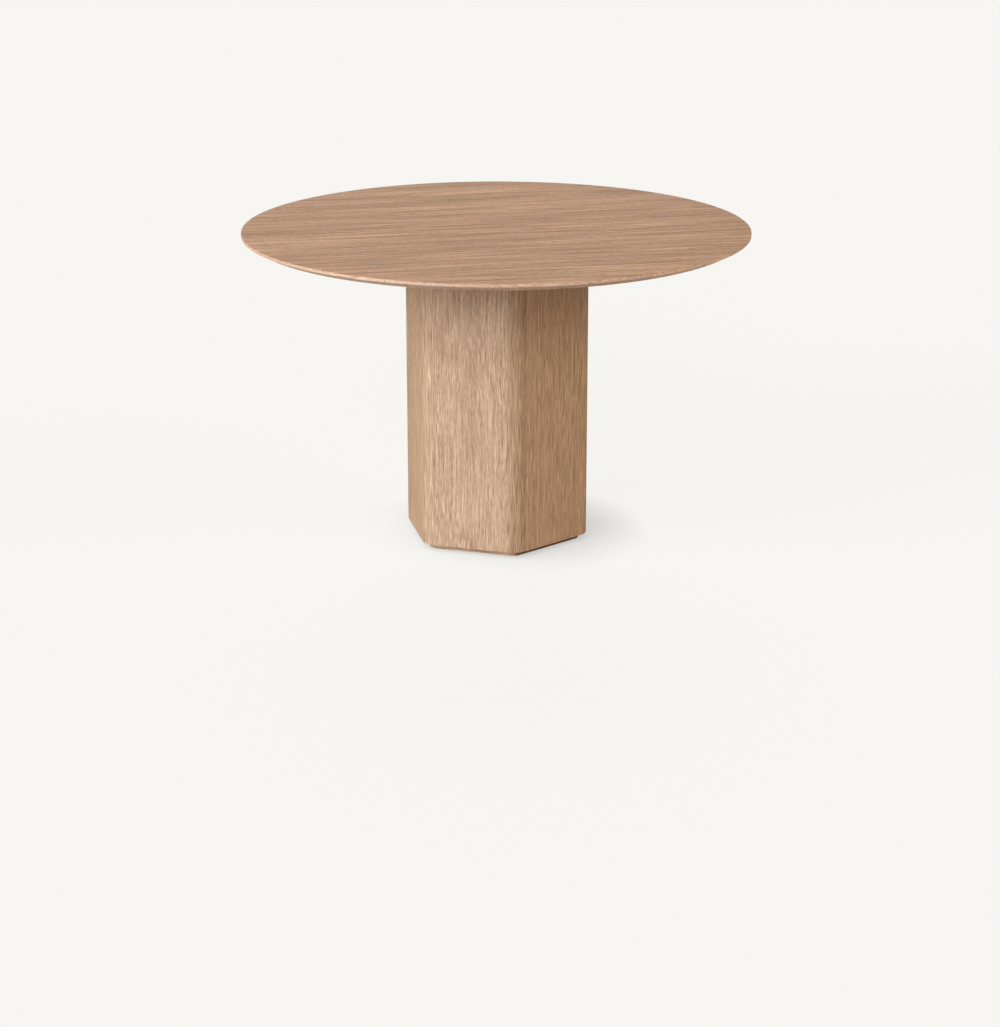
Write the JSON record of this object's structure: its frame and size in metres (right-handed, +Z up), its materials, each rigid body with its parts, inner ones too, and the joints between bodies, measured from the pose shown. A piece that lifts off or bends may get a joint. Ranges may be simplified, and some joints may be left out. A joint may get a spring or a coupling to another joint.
{
  "type": "pedestal table",
  "caption": "Round dining table with an oak-veneered top on a hexagonal pedestal column with rounded corner posts, a recessed plinth and screw-adjustable levelling feet.",
  "frame": {"origin": "on the floor, on the axis of the column, with the feet screwed home", "axes": "+Z up; +X along the grain of the top and square to one face of the column"},
  "size_m": [1.2, 1.2, 0.75],
  "materials": {
    "oak_veneer": "matt lacquered natural oak veneer",
    "solid_oak": "matt lacquered solid oak",
    "core_board": "raw wood-fibre board, not seen",
    "birch_plywood": "raw birch plywood",
    "beech_dowel": "raw beech",
    "black_steel": "black powder coat",
    "zinc_steel": "bright zinc plate",
    "foot_nylon": "moulded black nylon"
  },
  "bodies": {
    "table": {"backing_veneer": "oak_veneer", "ballast_disc_1": "black_steel", "ballast_disc_2": "black_steel", "ballast_screws": "zinc_steel", "base_board": "birch_plywood", "column_head": "birch_plywood", "column_tongues": "birch_plywood", "corner_post_1": "solid_oak", "corner_post_2": "solid_oak", "corner_post_3": "solid_oak", "corner_post_4": "solid_oak", "corner_post_5": "solid_oak", "corner_post_6": "solid_oak", "edge_lipping_1": "solid_oak", "edge_lipping_2": "solid_oak", "edge_lipping_3": "solid_oak", "edge_lipping_4": "solid_oak", "edge_lipping_5": "solid_oak", "edge_lipping_6": "solid_oak", "edge_lipping_7": "solid_oak", "edge_lipping_8": "solid_oak", "foot_sleeves": "zinc_steel", "lipping_tongues": "birch_plywood", "locating_dowels": "beech_dowel", "middle_rib": "birch_plywood", "plinth_core": "birch_plywood", "plinth_screws": "zinc_steel", "plinth_strip_1": "solid_oak", "plinth_strip_2": "solid_oak", "plinth_strip_3": "solid_oak", "plinth_strip_4": "solid_oak", "plinth_strip_5": "solid_oak", "plinth_strip_6": "solid_oak", "rod_nut": "zinc_steel", "rod_washer": "zinc_steel", "side_panel_1": "oak_veneer", "side_panel_2": "oak_veneer", "side_panel_3": "oak_veneer", "side_panel_4": "oak_veneer", "side_panel_5": "oak_veneer", "side_panel_6": "oak_veneer", "tie_rod": "zinc_steel", "top_core": "core_board", "top_inserts": "zinc_steel", "top_plate": "black_steel", "top_screws": "zinc_steel", "top_veneer": "oak_veneer"},
    "foot_1": {"foot_pad_1": "foot_nylon", "foot_stud_1": "zinc_steel"},
    "foot_2": {"foot_pad_2": "foot_nylon", "foot_stud_2": "zinc_steel"},
    "foot_3": {"foot_pad_3": "foot_nylon", "foot_stud_3": "zinc_steel"},
    "foot_4": {"foot_pad_4": "foot_nylon", "foot_stud_4": "zinc_steel"},
    "foot_5": {"foot_pad_5": "foot_nylon", "foot_stud_5": "zinc_steel"},
    "foot_6": {"foot_pad_6": "foot_nylon", "foot_stud_6": "zinc_steel"}
  },
  "joints": [
    {"name": "foot_1_height", "type": "slide", "parent": "table", "child": "foot_1", "axis": [0, 0, -1], "range_m": [0, 0.012]},
    {"name": "foot_2_height", "type": "slide", "parent": "table", "child": "foot_2", "axis": [0, 0, -1], "range_m": [0, 0.012]},
    {"name": "foot_3_height", "type": "slide", "parent": "table", "child": "foot_3", "axis": [0, 0, -1], "range_m": [0, 0.012]},
    {"name": "foot_4_height", "type": "slide", "parent": "table", "child": "foot_4", "axis": [0, 0, -1], "range_m": [0, 0.012]},
    {"name": "foot_5_height", "type": "slide", "parent": "table", "child": "foot_5", "axis": [0, 0, -1], "range_m": [0, 0.012]},
    {"name": "foot_6_height", "type": "slide", "parent": "table", "child": "foot_6", "axis": [0, 0, -1], "range_m": [0, 0.012]}
  ]
}
